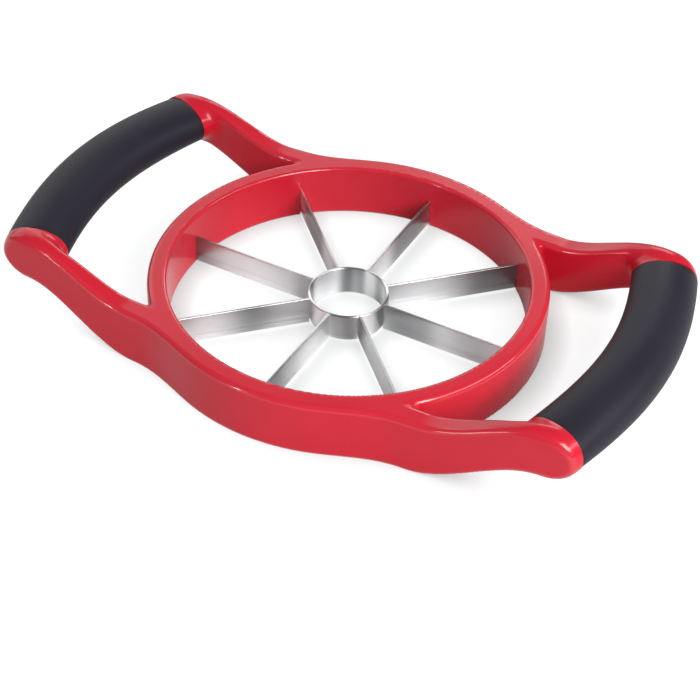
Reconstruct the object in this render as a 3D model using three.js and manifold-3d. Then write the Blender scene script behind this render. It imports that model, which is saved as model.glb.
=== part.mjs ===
import * as THREE from 'three';
import { mergeVertices } from 'three/addons/utils/BufferGeometryUtils.js';
import Module from 'manifold-3d';

// Hand slicer: a red moulded ring with eight steel blades round a core tube, carried by two side rails that
// sweep up to a soft grip at each end. Millimetres, +Z up. The origin is the ring's centre on the table.
// X runs from grip to grip. The tool is alike on both sides of X = 0 and of Y = 0.

const wasm = await Module();
wasm.setup();

// The round ring.
const RING_INNER = 50;
const RING_OUTER = 55.4;
const RING_HEIGHT = 15.8;
const RING_TOP_INNER_ROUND = 0.8;
const RING_TOP_OUTER_ROUND = 1.4;
const RING_BOTTOM_ROUND = 0.8;

// The side rails. Their plan is a bar between an outer and an inner line, swelled by the ring's front.
const RAIL_OUTER_Y = 48.6;
const RAIL_OUTER_TAPER = 0.065;
const RAIL_INNER_Y = 39.9;
const RAIL_INNER_TAPER = 0.013;
const RAIL_BULGE_RADIUS = 55.9;
const RAIL_BLEND = 5;
const RAIL_TOP_ROUND = 1.3;
const RAIL_BOTTOM_ROUND = 0.6;
const RAIL_DRAFT = 0.5;
const NOTCH_X = 38.5;
const NOTCH_ROUND = 1.8;

// The rails rise over these stretches of X, and their ends are round seen from the side.
const TOP_RISE = [44, 76];
const BOTTOM_RISE = [42, 76];
const RAIL_BOTTOM = 0;
const LOBE_TOP = 25.9;
const LOBE_BOTTOM = 12.1;
const LOBE_CENTRE_X = 77.5;
const LOBE_REACH = 7.9;

// The cross bars: an oval section, square to a bowed middle line, between the grip's two ends.
const BAR_END_Y = 37.4;
const BAR_X = 77.5;
const BAR_BOW = 5.85;
const BAR_BOW_PEAK = 0.67;
const BAR_Z = 19;
const BAR_CROWN = 0.8;
const BAR_HALF_WIDTH = 9;
const BAR_HALF_HEIGHT = 6.35;
const BAR_SWELL = 1.05;
const BAR_FACE_Y = 43.7;
const BAR_FACE_ROUND = 3.5;
const SPINE_INSET = 2.4;
const SPINE_REACH = 1.03;

// The steel.
const BLADE_COUNT = 8;
const BLADE_THICKNESS = 0.8;
const BLADE_TOP = 9.1;
const BLADE_BOTTOM = 0.6;
const BEVEL_HEIGHT = 1.8;
const EDGE_THICKNESS = 0.12;
const CORE_OUTER = 11.3;
const CORE_WALL = 0.8;
const HOOP_INNER = 51.4;
const HOOP_WALL = 0.8;
const HOOP_TOP = 10.4;
const HOOP_BOTTOM = 1.6;
const TAB_TOP = 7.4;
const TAB_BOTTOM = 3;
const TAB_REACH = 52.9;

// The groove under the ring and what closes it.
const GROOVE_INNER = 51.1;
const GROOVE_OUTER = 53.5;
const GROOVE_TOP = 10.8;
const RETAINER_THICKNESS = 1.2;
const RETAINER_RECESS = 0.1;

// The gap left between neighbouring pieces, and how far a cutting shape runs past what it cuts.
const GAP = 0.2;
const PAST = 1;

// How finely the round forms are stepped.
const RING_STEPS = 72;
const CORE_STEPS = 64;
const ROUND_STEPS = 2;
const OVAL_STEPS = 24;
const GRIP_STEPS = 18;
const SPINE_STEPS = 12;
const RAIL_STEPS = 20;
const LOBE_STEPS = 7;
const BAR_END_STEPS = 6;
const LOBE_LAST_ANGLE = 84;

const RED = { color: 0xc8202e, roughness: 0.32, metalness: 0 };
const BLACK = { color: 0x2b2a2e, roughness: 0.6, metalness: 0 };
const STEEL = { color: 0xb9bcc0, roughness: 0.28, metalness: 1 };

// 0 before a, 1 after b, and a smooth S between them.
function rise(a, b, value) {
  return THREE.MathUtils.smoothstep(value, a, b);
}

// The larger of two heights, with the corner where they cross filled in over the width k.
function softMax(a, b, k) {
  const h = Math.max(k - Math.abs(a - b), 0) / k;
  return Math.max(a, b) + (h * h * k) / 4;
}

function circleY(radius, x) {
  return Math.sqrt(Math.max(radius * radius - x * x, 0));
}

// A closed solid through a row of closed sections that all have the same number of points.
function loft(sections) {
  const count = sections[0].length;
  const last = sections.length - 1;
  const positions = sections.flat().flatMap((p) => [p.x, p.y, p.z]);
  const triangles = [];
  for (let s = 0; s < last; s++) {
    for (let i = 0; i < count; i++) {
      const a = s * count + i;
      const b = s * count + ((i + 1) % count);
      triangles.push(a, b, b + count, a, b + count, a + count);
    }
  }
  for (let i = 1; i < count - 1; i++) {
    const end = last * count;
    triangles.push(0, i + 1, i, end, end + i, end + i + 1);
  }
  const geometry = new THREE.BufferGeometry();
  geometry.setAttribute('position', new THREE.Float32BufferAttribute(positions, 3));
  geometry.setIndex(triangles);
  return geometry;
}

// Turns a three.js geometry into a solid that can be joined and cut.
function solid(geometry) {
  const bare = geometry.clone();
  bare.deleteAttribute('normal');
  bare.deleteAttribute('uv');
  const merged = mergeVertices(bare, 1e-4);
  const vertProperties = new Float32Array(merged.attributes.position.array);
  const triVerts = new Uint32Array(merged.index.array);
  const made = new wasm.Manifold(new wasm.Mesh({ numProp: 3, vertProperties, triVerts }));
  if (made.volume() > 0) return made;
  for (let i = 0; i < triVerts.length; i += 3) {
    [triVerts[i], triVerts[i + 1]] = [triVerts[i + 1], triVerts[i]];
  }
  return new wasm.Manifold(new wasm.Mesh({ numProp: 3, vertProperties, triVerts }));
}

// Turns a joined or cut solid back into a named mesh.
function piece(name, made, look) {
  const { vertProperties, triVerts } = made.getMesh();
  const geometry = new THREE.BufferGeometry();
  geometry.setAttribute('position', new THREE.BufferAttribute(vertProperties, 3));
  geometry.setIndex(new THREE.BufferAttribute(triVerts, 1));
  geometry.computeVertexNormals();
  const mesh = new THREE.Mesh(geometry, new THREE.MeshStandardMaterial(look));
  mesh.name = name;
  return mesh;
}

// A ring about Z whose wall is the given closed outline of radius and height.
function turned(outline, steps = RING_STEPS) {
  const closed = [...outline, outline[0]];
  const geometry = new THREE.LatheGeometry(closed, steps);
  geometry.rotateX(Math.PI / 2);
  return solid(geometry);
}

// A plain rectangular ring wall.
function hoop(inner, outer, bottom, top) {
  return turned([
    new THREE.Vector2(inner, bottom),
    new THREE.Vector2(outer, bottom),
    new THREE.Vector2(outer, top),
    new THREE.Vector2(inner, top),
  ]);
}

// A box that reaches out along X from one radius to another, centred on Y = 0.
function bar(inner, outer, width, bottom, top) {
  const geometry = new THREE.BoxGeometry(outer - inner, width, top - bottom);
  geometry.translate((inner + outer) / 2, 0, (bottom + top) / 2);
  return solid(geometry);
}

// The same solid at each blade's angle.
function roundTheRing(made) {
  const step = 360 / BLADE_COUNT;
  return Array.from({ length: BLADE_COUNT }, (_, i) => made.rotate([0, 0, i * step]));
}

function cutAll(body, tools) {
  return tools.reduce((rest, tool) => rest.subtract(tool), body);
}

// A closed outline through four corners, each rounded by its own quarter arc.
function roundedCorners(right, left, top, bottom, topRound, bottomRound) {
  const room = 0.999 * Math.min((right - left) / 2, (top - bottom) / 2);
  const points = [];
  for (let corner = 0; corner < 4; corner++) {
    const onRight = corner === 0 || corner === 3;
    const onTop = corner < 2;
    const r = Math.min(onTop ? topRound : bottomRound, room);
    const x = onRight ? right - r : left + r;
    const y = onTop ? top - r : bottom + r;
    for (let i = 0; i <= ROUND_STEPS; i++) {
      const angle = ((corner + i / ROUND_STEPS) * Math.PI) / 2;
      points.push(new THREE.Vector2(x + r * Math.cos(angle), y + r * Math.sin(angle)));
    }
  }
  return points;
}

// The ring's wall, with its own rounding at each corner.
function ringWall() {
  const wall = new THREE.Shape();
  const foot = RING_BOTTOM_ROUND;
  const inner = RING_TOP_INNER_ROUND;
  const outer = RING_TOP_OUTER_ROUND;
  wall.moveTo(RING_INNER, foot);
  wall.absarc(RING_INNER + foot, foot, foot, Math.PI, 1.5 * Math.PI);
  wall.absarc(RING_OUTER - foot, foot, foot, 1.5 * Math.PI, 2 * Math.PI);
  wall.absarc(RING_OUTER - outer, RING_HEIGHT - outer, outer, 0, Math.PI / 2);
  wall.absarc(RING_INNER + inner, RING_HEIGHT - inner, inner, Math.PI / 2, Math.PI);
  const points = wall.getPoints(ROUND_STEPS);
  points.pop();
  return turned(points);
}

// The rail's outer face: a straight line that meets the ring's round front.
function railOuterY(x) {
  const line = RAIL_OUTER_Y - RAIL_OUTER_TAPER * x;
  return softMax(circleY(RAIL_BULGE_RADIUS, x), line, RAIL_BLEND);
}

// The rail's inner face: a straight line that dives into the ring's wall.
function railInnerY(x) {
  const insideTheWall = (RING_INNER + RING_OUTER) / 2;
  return Math.max(RAIL_INNER_Y - RAIL_INNER_TAPER * x, circleY(insideTheWall, x));
}

// Top and bottom of the rail, drawn together at its round end.
function railHeights(x) {
  const top = THREE.MathUtils.lerp(RING_HEIGHT, LOBE_TOP, rise(...TOP_RISE, x));
  const bottom = THREE.MathUtils.lerp(RAIL_BOTTOM, LOBE_BOTTOM, rise(...BOTTOM_RISE, x));
  const past = Math.max((x - LOBE_CENTRE_X) / LOBE_REACH, 0);
  const half = ((top - bottom) / 2) * Math.sqrt(Math.max(1 - past * past, 0));
  const middle = (top + bottom) / 2;
  return [middle + half, middle - half];
}

// The outer face leans out towards its foot.
function railSection(x) {
  const reach = Math.abs(x);
  const [top, bottom] = railHeights(reach);
  const outer = railOuterY(reach);
  const inner = railInnerY(reach);
  const outline = roundedCorners(outer, inner, top, bottom, RAIL_TOP_ROUND, RAIL_BOTTOM_ROUND);
  return outline.map((p) => {
    const lean = RAIL_DRAFT * ((p.x - inner) / (outer - inner)) * ((RING_HEIGHT - p.y) / RING_HEIGHT);
    return new THREE.Vector3(x, p.x + Math.max(lean, 0), p.y);
  });
}

// One rail from end to end, on the +Y side.
function rail() {
  const half = [];
  for (let i = 0; i < RAIL_STEPS; i++) half.push((i / RAIL_STEPS) * LOBE_CENTRE_X);
  for (let i = 0; i <= LOBE_STEPS; i++) {
    const angle = THREE.MathUtils.degToRad((i / LOBE_STEPS) * LOBE_LAST_ANGLE);
    half.push(LOBE_CENTRE_X + LOBE_REACH * Math.sin(angle));
  }
  const stations = [...half.slice(1).reverse().map((x) => -x), ...half];
  return solid(loft(stations.map(railSection)));
}

// The rounded corner between the ring's outer wall and a rail's inner face.
function notchFillet() {
  const y = railInnerY(NOTCH_X) - NOTCH_ROUND;
  const x = circleY(RING_OUTER + NOTCH_ROUND, y);
  const outline = new THREE.Shape();
  outline.moveTo(NOTCH_X - PAST, y);
  outline.lineTo(NOTCH_X - PAST, y + NOTCH_ROUND + PAST);
  outline.lineTo(x, y + NOTCH_ROUND + PAST);
  outline.absarc(x, y, NOTCH_ROUND, Math.PI / 2, Math.PI + Math.atan2(y, x));
  outline.closePath();
  const height = RING_HEIGHT - RING_TOP_OUTER_ROUND - RING_BOTTOM_ROUND;
  const web = new THREE.ExtrudeGeometry(outline, { depth: height, bevelEnabled: false, curveSegments: 4 });
  web.translate(0, 0, RING_BOTTOM_ROUND);
  return solid(web);
}

// Middle, turn about Z and half sizes of the right cross bar. v runs from -1 to 1 between the grip's ends.
function barAt(v) {
  const w = 1 - v * v;
  const slope = (2 * v * (BAR_BOW + 2 * BAR_BOW_PEAK * w)) / BAR_END_Y;
  return {
    x: BAR_X + BAR_BOW * w + BAR_BOW_PEAK * w * w,
    y: BAR_END_Y * v,
    z: BAR_Z + BAR_CROWN * w,
    turn: Math.atan(slope),
    halfWidth: BAR_HALF_WIDTH,
    halfHeight: BAR_HALF_HEIGHT + BAR_SWELL * Math.max(w, 0),
  };
}

// The oval of the cross bar in one of its cut planes, drawn in by the inset.
function oval({ x, y, z, turn, halfWidth, halfHeight }, inset) {
  const curve = new THREE.EllipseCurve(0, 0, halfWidth - inset, halfHeight - inset, 0, 2 * Math.PI);
  const around = curve.getPoints(OVAL_STEPS).slice(0, OVAL_STEPS);
  return around.map((p) => new THREE.Vector3(x + p.x * Math.cos(turn), y + p.x * Math.sin(turn), z + p.y));
}

function barLoft(reach, steps, inset) {
  const sections = [];
  for (let i = 0; i <= steps; i++) {
    sections.push(oval(barAt(THREE.MathUtils.lerp(-reach, reach, i / steps)), inset));
  }
  return solid(loft(sections));
}

// The red end of the cross bar: its planes turn from the grip's shoulder to the rail's outer face.
function barEnd() {
  const sections = [];
  const shoulder = barAt(1).turn;
  const faceTurn = -Math.atan(RAIL_OUTER_TAPER);
  for (let i = 0; i <= BAR_END_STEPS; i++) {
    const angle = ((i / BAR_END_STEPS) * Math.PI) / 2;
    const y = BAR_END_Y + (BAR_FACE_Y - BAR_END_Y) * Math.sin(angle);
    const turn = THREE.MathUtils.lerp(shoulder, faceTurn, Math.sin(angle));
    const inset = BAR_FACE_ROUND * (1 - Math.cos(angle)) ** 2;
    sections.push(oval({ ...barAt(y / BAR_END_Y), turn }, inset));
  }
  return solid(loft(sections));
}

function frame() {
  const oneRail = rail();
  const oneEnd = barEnd();
  const corner = oneEnd.add(notchFillet());
  const spine = barLoft(SPINE_REACH, SPINE_STEPS, SPINE_INSET);
  const roomForGrip = barLoft(1, GRIP_STEPS, -GAP);
  let body = ringWall().add(oneRail).add(oneRail.scale([1, -1, 1]));
  for (const side of [1, -1]) {
    body = body.add(corner.scale([side, 1, 1])).add(corner.scale([side, -1, 1]));
    body = body.subtract(roomForGrip.scale([side, 1, 1])).add(spine.scale([side, 1, 1]));
  }
  const groove = hoop(GROOVE_INNER, GROOVE_OUTER, -PAST, GROOVE_TOP);
  const slot = bar(RING_INNER - PAST, GROOVE_INNER + PAST, BLADE_THICKNESS + 2 * GAP, -PAST, BLADE_TOP + GAP);
  return cutAll(body.subtract(groove), roundTheRing(slot));
}

// A sleeve round the right cross bar's spine.
function grip() {
  const sleeve = barLoft(1 - GAP / BAR_END_Y, GRIP_STEPS, 0);
  return sleeve.subtract(barLoft(SPINE_REACH, SPINE_STEPS, SPINE_INSET - GAP));
}

// A blade strip along +X, ground to an edge below, with a tab at each end.
function blade() {
  const half = BLADE_THICKNESS / 2;
  const outline = new THREE.Shape();
  outline.moveTo(-half, BLADE_TOP);
  outline.lineTo(-half, BLADE_BOTTOM + BEVEL_HEIGHT);
  outline.lineTo(-EDGE_THICKNESS / 2, BLADE_BOTTOM);
  outline.lineTo(EDGE_THICKNESS / 2, BLADE_BOTTOM);
  outline.lineTo(half, BLADE_BOTTOM + BEVEL_HEIGHT);
  outline.lineTo(half, BLADE_TOP);
  outline.closePath();
  const from = CORE_OUTER + GAP;
  const to = HOOP_INNER - GAP;
  const strip = new THREE.ExtrudeGeometry(outline, { depth: to - from, bevelEnabled: false, steps: 1 });
  strip.rotateX(Math.PI / 2);
  strip.rotateZ(Math.PI / 2);
  strip.translate(from, 0, 0);
  const tabs = bar(CORE_OUTER - CORE_WALL, TAB_REACH, BLADE_THICKNESS, TAB_BOTTOM, TAB_TOP);
  return solid(strip).add(tabs);
}

// The windows that the blades' tabs pass through.
function tabWindows(inner, outer) {
  const window = bar(inner, outer, BLADE_THICKNESS + 2 * GAP, TAB_BOTTOM - GAP, TAB_TOP + GAP);
  return roundTheRing(window);
}

// The core tube, ground to an edge on the outside at the bottom.
function coreRing() {
  const inner = CORE_OUTER - CORE_WALL;
  const tube = turned([
    new THREE.Vector2(inner, BLADE_BOTTOM),
    new THREE.Vector2(inner + EDGE_THICKNESS, BLADE_BOTTOM),
    new THREE.Vector2(CORE_OUTER, BLADE_BOTTOM + BEVEL_HEIGHT),
    new THREE.Vector2(CORE_OUTER, BLADE_TOP),
    new THREE.Vector2(inner, BLADE_TOP),
  ], CORE_STEPS);
  return cutAll(tube, tabWindows(inner - PAST, CORE_OUTER + PAST));
}

function bladeHoop() {
  const wall = hoop(HOOP_INNER, HOOP_INNER + HOOP_WALL, HOOP_BOTTOM, HOOP_TOP);
  return cutAll(wall, tabWindows(HOOP_INNER - PAST, HOOP_INNER + HOOP_WALL + PAST));
}

function retainingRing() {
  return hoop(GROOVE_INNER + GAP, GROOVE_OUTER - GAP, RETAINER_RECESS, RETAINER_RECESS + RETAINER_THICKNESS);
}

const group = new THREE.Group();
group.add(piece('frame', frame(), RED));
group.add(piece('retaining_ring', retainingRing(), RED));
group.add(piece('blade_hoop', bladeHoop(), STEEL));
group.add(piece('core_ring', coreRing(), STEEL));
roundTheRing(blade()).forEach((strip, i) => group.add(piece(`blade_${i + 1}`, strip, STEEL)));
group.add(piece('grip_right', grip(), BLACK));
group.add(piece('grip_left', grip().scale([-1, 1, 1]), BLACK));

export default group;
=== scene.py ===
# %% [markdown]
# # A hand slicer for fruit, dressed in Blender
#
# The real tool is four things held together. One red moulding is the round ring, the two rails beside it
# and the raised ends. A black soft grip is moulded round each cross bar. A wheel of eight thin steel blades
# drops into a groove under the ring, and a core tube sits where the blades meet.
#
# The engineering model comes in first and is never moved. Every piece that is made here is made from the
# same sizes, in metres, so that it lands on the model without any fitting.

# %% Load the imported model
import math

import bmesh
import bpy
import numpy as np
from mathutils import Matrix, Vector


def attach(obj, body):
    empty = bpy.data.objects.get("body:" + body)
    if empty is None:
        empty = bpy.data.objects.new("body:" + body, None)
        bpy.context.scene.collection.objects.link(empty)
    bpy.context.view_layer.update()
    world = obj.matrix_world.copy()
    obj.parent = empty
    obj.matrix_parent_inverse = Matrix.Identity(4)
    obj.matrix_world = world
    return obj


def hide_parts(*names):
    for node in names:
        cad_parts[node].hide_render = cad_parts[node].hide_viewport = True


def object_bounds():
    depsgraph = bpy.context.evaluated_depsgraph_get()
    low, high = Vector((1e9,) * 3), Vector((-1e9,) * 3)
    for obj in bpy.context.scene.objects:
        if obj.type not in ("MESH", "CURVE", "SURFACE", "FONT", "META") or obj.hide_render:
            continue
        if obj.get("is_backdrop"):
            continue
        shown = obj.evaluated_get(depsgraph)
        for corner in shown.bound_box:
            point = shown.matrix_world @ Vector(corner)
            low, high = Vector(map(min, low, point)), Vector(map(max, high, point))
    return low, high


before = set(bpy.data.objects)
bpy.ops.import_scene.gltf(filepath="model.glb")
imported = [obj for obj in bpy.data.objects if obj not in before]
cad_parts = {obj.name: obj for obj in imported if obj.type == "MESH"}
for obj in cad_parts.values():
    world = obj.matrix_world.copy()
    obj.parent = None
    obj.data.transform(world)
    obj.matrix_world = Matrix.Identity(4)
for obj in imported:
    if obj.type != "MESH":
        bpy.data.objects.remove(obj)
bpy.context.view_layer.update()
MM = 0.001

# %% [markdown]
# ## The camera
#
# The photograph was taken from the front right, about forty degrees up, with a longer lens from close by.
# The angles, the distance and the lens were found by laying the ring, the rails and the grips over the
# picture and letting the numbers settle. A camera is easiest to place from its target: step back along the
# line of sight, then turn the picture by the small roll that a hand-held camera has.

# %% Camera
LENS_MM = 87.0
SENSOR_MM = 36
VIEW_TURN = math.radians(27.465)
VIEW_RISE = math.radians(40.574)
VIEW_ROLL = math.radians(1.909)
VIEW_DISTANCE = 464.66 * MM
VIEW_TARGET = Vector((7.476, -12.290, 0)) * MM

flat = math.cos(VIEW_RISE)
backwards = Vector((math.sin(VIEW_TURN) * flat, -math.cos(VIEW_TURN) * flat, math.sin(VIEW_RISE)))
level_right = Vector((math.cos(VIEW_TURN), math.sin(VIEW_TURN), 0))
level_up = backwards.cross(level_right)
right = level_right * math.cos(VIEW_ROLL) + level_up * math.sin(VIEW_ROLL)
up = level_up * math.cos(VIEW_ROLL) - level_right * math.sin(VIEW_ROLL)

lens = bpy.data.cameras.new("camera")
lens.lens = LENS_MM
lens.sensor_width = SENSOR_MM
lens.clip_start = 0.01
lens.clip_end = 10
camera = bpy.data.objects.new("camera", lens)
bpy.context.scene.collection.objects.link(camera)
camera.location = VIEW_TARGET + backwards * VIEW_DISTANCE
camera.rotation_mode = "QUATERNION"
camera.rotation_quaternion = Matrix((right, up, backwards)).transposed().to_quaternion()
bpy.context.scene.camera = camera
bpy.context.scene.view_settings.view_transform = "Standard"
print("camera at, in mm:", [round(c / MM) for c in camera.location])

# %% [markdown]
# ## Small helpers for nodes
#
# Materials and Geometry Nodes are both graphs, and a long graph is hard to read as a list of links. Two
# helpers keep it short: one feeds a socket with a number or with another node's output, and one adds a
# node, sets its options and hands back its outputs.

# %% Node helpers
def feed(tree, socket, value):
    if isinstance(value, bpy.types.NodeSocket):
        tree.links.new(value, socket)
    else:
        socket.default_value = value


def add(tree, kind, options=None, **inputs):
    """A new node. Options are its own settings, and inputs are sockets by name, with _ for a space."""
    node = tree.nodes.new(kind)
    for name, value in (options or {}).items():
        setattr(node, name, value)
    for name, value in inputs.items():
        feed(tree, node.inputs[name.replace("_", " ")], value)
    return node


def calc(tree, operation, *values):
    node = add(tree, "ShaderNodeMath", {"operation": operation})
    for socket, value in zip(node.inputs, values):
        feed(tree, socket, value)
    return node.outputs[0]


def new_group(name, kind, inputs, outputs):
    """An empty node group with named sockets, and its two end nodes."""
    group = bpy.data.node_groups.new(name, kind)
    for label, socket_type, value in inputs:
        socket = group.interface.new_socket(name=label, in_out="INPUT", socket_type=socket_type)
        if value is not None:
            socket.default_value = value
    for label, socket_type in outputs:
        group.interface.new_socket(name=label, in_out="OUTPUT", socket_type=socket_type)
    return group, group.nodes.new("NodeGroupInput").outputs, group.nodes.new("NodeGroupOutput").inputs


# %% [markdown]
# ## Surface effects that several materials share
#
# Nothing that is moulded or rolled is perfectly even. A gloss moulding has a faint orange peel, soft rubber
# has a fine matt grain, and rolled strip has scratches that all run one way. The steel also gets a painted
# reflection: a slow light and dark that comes and goes along it. A few specks of dust lie on the plastics.
# Each effect is one node group, built once and placed in a material with that material's own sizes. A group
# only hands out values. The shader stays in the material.

# %% Group: moulded skin
PATCH_IN_WAVES = 6.0
PATCH_RANGE = {"From_Min": 0.25, "From_Max": 0.75}
SMOOTH = {"interpolation_type": "SMOOTHERSTEP"}


def noise(tree, vector, size, detail):
    scale = calc(tree, "DIVIDE", 1.0, size)
    return add(tree, "ShaderNodeTexNoise", Vector=vector, Scale=scale, Detail=detail).outputs[0]


def build_moulded_skin():
    """Fine grain and slow waves as a height, and broad soft patches as a mask."""
    group, given, result = new_group(
        "Moulded Skin", "ShaderNodeTree",
        [("Vector", "NodeSocketVector", None), ("Grain Size", "NodeSocketFloat", 0.3 * MM),
         ("Wave Size", "NodeSocketFloat", 4 * MM), ("Wave Share", "NodeSocketFloat", 0.5)],
        [("Height", "NodeSocketFloat"), ("Patches", "NodeSocketFloat")])
    grain = noise(group, given["Vector"], given["Grain Size"], 2.0)
    waves = noise(group, given["Vector"], given["Wave Size"], 1.0)
    patch_size = calc(group, "MULTIPLY", given["Wave Size"], PATCH_IN_WAVES)
    broad = noise(group, given["Vector"], patch_size, 2.0)
    mix = add(group, "ShaderNodeMix", Factor=given["Wave Share"], A=grain, B=waves)
    feed(group, result["Height"], mix.outputs[0])
    patches = add(group, "ShaderNodeMapRange", SMOOTH, Value=broad, **PATCH_RANGE)
    feed(group, result["Patches"], patches.outputs[0])
    return group


# %% Group: brushed strip
PAINTED_REFLECTION_RANGE = {"From_Min": 0.34, "From_Max": 0.62}


def build_brushed_strip():
    """Fine scratches along the vector's first axis, and slow light and dark as a painted reflection."""
    group, given, result = new_group(
        "Brushed Strip", "ShaderNodeTree",
        [("Vector", "NodeSocketVector", None), ("Scratch Width", "NodeSocketFloat", 0.1 * MM),
         ("Scratch Length", "NodeSocketFloat", 12 * MM), ("Sheen Vector", "NodeSocketVector", None),
         ("Sheen Size", "NodeSocketFloat", 20 * MM), ("Sheen Start", "NodeSocketFloat", 0.0)],
        [("Scratches", "NodeSocketFloat"), ("Painted Reflection", "NodeSocketFloat")])
    apart = add(group, "ShaderNodeSeparateXYZ", Vector=given["Vector"])
    along = calc(group, "DIVIDE", apart.outputs["X"], given["Scratch Length"])
    across = calc(group, "DIVIDE", apart.outputs["Y"], given["Scratch Width"])
    stretched = add(group, "ShaderNodeCombineXYZ", X=along, Y=across).outputs[0]
    fine = add(group, "ShaderNodeTexNoise", Vector=stretched, Scale=1.0, Detail=2.0).outputs[0]
    feed(group, result["Scratches"], fine)

    # A slow light and dark along the strip: a painted reflection for the steel's colour.
    apart = add(group, "ShaderNodeSeparateXYZ", Vector=given["Sheen Vector"])
    x = calc(group, "DIVIDE", apart.outputs["X"], given["Sheen Size"])
    x = calc(group, "ADD", x, given["Sheen Start"])
    y = calc(group, "DIVIDE", apart.outputs["Y"], given["Sheen Size"])
    slow = add(group, "ShaderNodeCombineXYZ", X=x, Y=y).outputs[0]
    broad = add(group, "ShaderNodeTexNoise", Vector=slow, Scale=1.0, Detail=1.0).outputs[0]
    painted_reflection = add(group, "ShaderNodeMapRange", SMOOTH, Value=broad, **PAINTED_REFLECTION_RANGE)
    feed(group, result["Painted Reflection"], painted_reflection.outputs[0])
    return group


# %% Group: dust
EMPTY_SPOTS = 0.6


def build_dust():
    """A few specks, as a mask that is 0 nearly everywhere. Most of the spots for one stay empty."""
    group, given, result = new_group(
        "Dust", "ShaderNodeTree",
        [("Vector", "NodeSocketVector", None), ("Spacing", "NodeSocketFloat", 4 * MM),
         ("Speck Size", "NodeSocketFloat", 0.12 * MM)],
        [("Specks", "NodeSocketFloat")])
    scale = calc(group, "DIVIDE", 1.0, given["Spacing"])
    dots = add(group, "ShaderNodeTexVoronoi", Vector=given["Vector"], Scale=scale)
    reach = calc(group, "DIVIDE", given["Speck Size"], given["Spacing"])
    near = calc(group, "LESS_THAN", dots.outputs["Distance"], reach)
    chance = add(group, "ShaderNodeSeparateColor", Color=dots.outputs["Color"]).outputs[0]
    rare = calc(group, "GREATER_THAN", chance, EMPTY_SPOTS)
    feed(group, result["Specks"], calc(group, "MULTIPLY", near, rare))
    return group


MOULDED_SKIN = build_moulded_skin()
BRUSHED_STRIP = build_brushed_strip()
DUST = build_dust()
print("shader groups:", [group.name for group in bpy.data.node_groups])

# %% [markdown]
# ## Three finishes
#
# The red is a gloss moulding with a slight softness to its shine. Its colour is deep where light enters at
# right angles, so the base colour is strong and the paleness near the outline comes from reflection alone.
# Tight edges are polished by the mould and by hands, so a thin clear coat lies on them and nowhere else. It
# draws the crisp lines of light along the rims. The black is a soft-touch rubber: a broad, weak shine. The
# steel is bare metal, and its scratches stretch each highlight across them. Its colour carries a painted
# reflection, light and dark stretches along each blade and round the tube.

# %% Material helper
def new_material(name, **constants):
    """A material and its Principled shader, with the plain numbers set on the shader's own sockets."""
    material = bpy.data.materials.new(name)
    material.use_nodes = True
    tree = material.node_tree
    shader = tree.nodes["Principled BSDF"]
    for socket, value in constants.items():
        shader.inputs[socket.replace("_", " ")].default_value = value
    place = add(tree, "ShaderNodeTexCoord").outputs["Object"]
    return material, tree, shader, place


def use_group(tree, group, **inputs):
    return add(tree, "ShaderNodeGroup", {"node_tree": group}, **inputs).outputs


def blend_colour(tree, amount, first, second):
    mix = add(tree, "ShaderNodeMix", {"data_type": "RGBA"})
    feed(tree, mix.inputs[0], amount)
    feed(tree, mix.inputs[6], first)
    feed(tree, mix.inputs[7], second)
    return mix.outputs[2]


def between(tree, amount, low, high):
    return add(tree, "ShaderNodeMapRange", Value=amount, To_Min=low, To_Max=high).outputs[0]


def relief(tree, shader, height, depth):
    """Turns a height between 0 and 1 into a dent of the given depth in metres."""
    bump = add(tree, "ShaderNodeBump", Height=height, Distance=depth)
    feed(tree, shader.inputs["Normal"], bump.outputs[0])


# %% Red moulding
RED = (0.63, 0.0135, 0.033, 1)
RED_DEEP = (0.58, 0.011, 0.028, 1)
RED_RUBBED = (0.66, 0.030, 0.048, 1)
RUBBED_SHARE = 0.25
RED_DUST = (0.8, 0.7, 0.7, 1)
RED_DUST_SHARE = 0.35
RED_ROUGHNESS = (0.20, 0.26)
EDGE_ROUGHNESS_CHANGE = -0.04
EDGE_COAT = 0.4
PEEL_DEPTH = 0.012 * MM
PEEL = {"Grain_Size": 0.5 * MM, "Wave_Size": 5 * MM, "Wave_Share": 0.75}

red_plastic, tree, shader, place = new_material(
    "red_moulding", IOR=1.5, Specular_IOR_Level=0.32, Coat_IOR=1.8, Coat_Roughness=0.06)
skin = use_group(tree, MOULDED_SKIN, Vector=place, **PEEL)
dust = use_group(tree, DUST, Vector=place, Spacing=6 * MM, Speck_Size=0.1 * MM)
edge = add(tree, "ShaderNodeAttribute", {"attribute_name": "edge"}).outputs["Fac"]
red = blend_colour(tree, skin["Patches"], RED_DEEP, RED)
red = blend_colour(tree, calc(tree, "MULTIPLY", edge, RUBBED_SHARE), red, RED_RUBBED)
red = blend_colour(tree, calc(tree, "MULTIPLY", dust["Specks"], RED_DUST_SHARE), red, RED_DUST)
feed(tree, shader.inputs["Base Color"], red)
roughness = between(tree, skin["Patches"], *RED_ROUGHNESS)
roughness = calc(tree, "MULTIPLY_ADD", edge, EDGE_ROUGHNESS_CHANGE, roughness)
feed(tree, shader.inputs["Roughness"], roughness)
feed(tree, shader.inputs["Coat Weight"], calc(tree, "MULTIPLY", edge, EDGE_COAT))
relief(tree, shader, skin["Height"], PEEL_DEPTH)

# %% Soft black grip
BLACK = (0.0165, 0.0155, 0.0245, 1)
BLACK_WORN = (0.022, 0.0208, 0.031, 1)
BLACK_DUST = (0.5, 0.5, 0.5, 1)
BLACK_DUST_SHARE = 0.3
BLACK_ROUGHNESS = (0.42, 0.50)
RUBBER_DEPTH = 0.01 * MM
RUBBER = {"Grain_Size": 0.22 * MM, "Wave_Size": 6 * MM, "Wave_Share": 0.25}

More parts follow.
